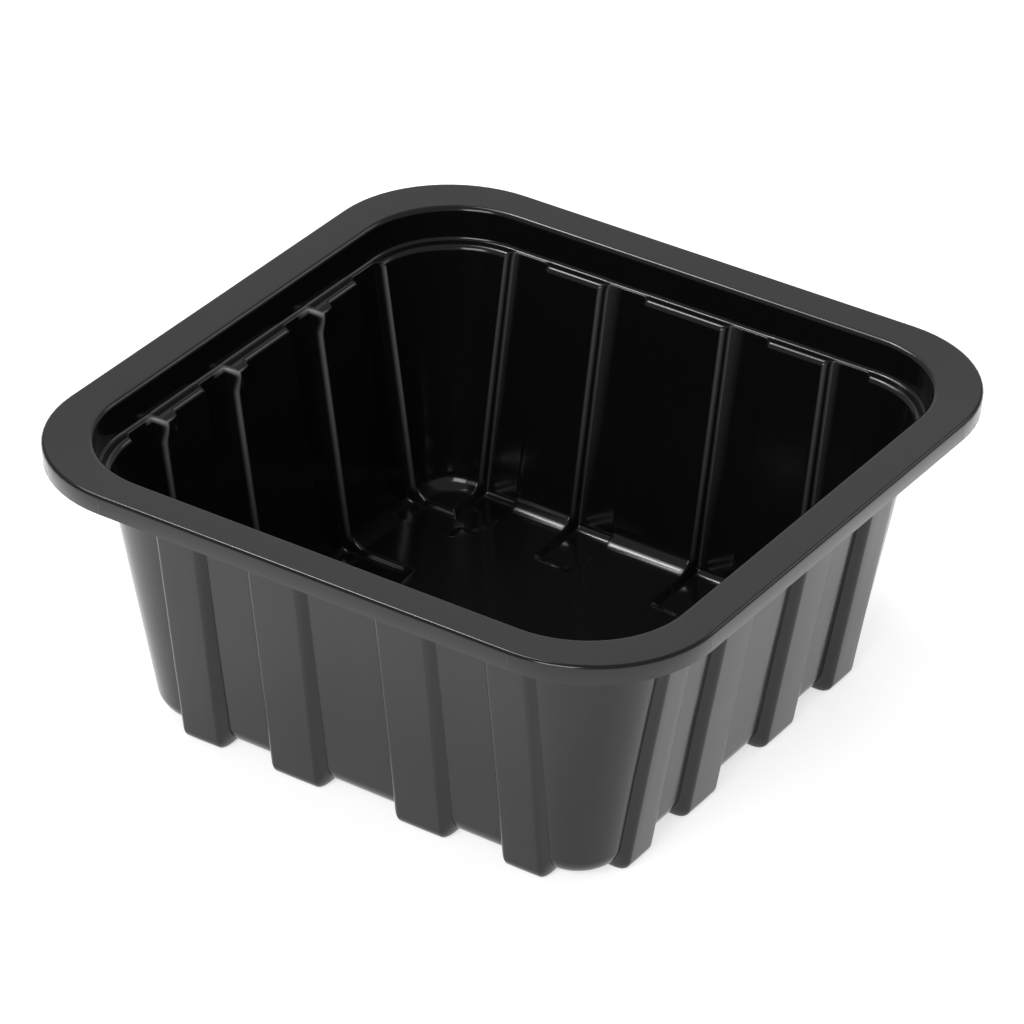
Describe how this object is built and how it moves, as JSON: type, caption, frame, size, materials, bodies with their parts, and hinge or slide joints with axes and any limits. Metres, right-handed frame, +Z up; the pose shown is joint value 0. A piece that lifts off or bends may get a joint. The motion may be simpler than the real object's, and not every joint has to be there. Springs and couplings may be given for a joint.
{
  "type": "plastic food tray",
  "caption": "Square deep tray for prepared food: flat sealing flange with a short skirt, ledge, ribbed tapering walls and short feet under the ribs.",
  "frame": {"origin": "middle of the tray's outline, on the surface it stands on", "axes": "+Z up out of the open mouth; X and Y square to the walls, which are alike"},
  "size_m": [0.1502, 0.1502, 0.064],
  "materials": {
    "black_plastic": "satin to gloss, as thermoformed"
  },
  "bodies": {
    "root": {"tray": "black_plastic"}
  },
  "joints": []
}
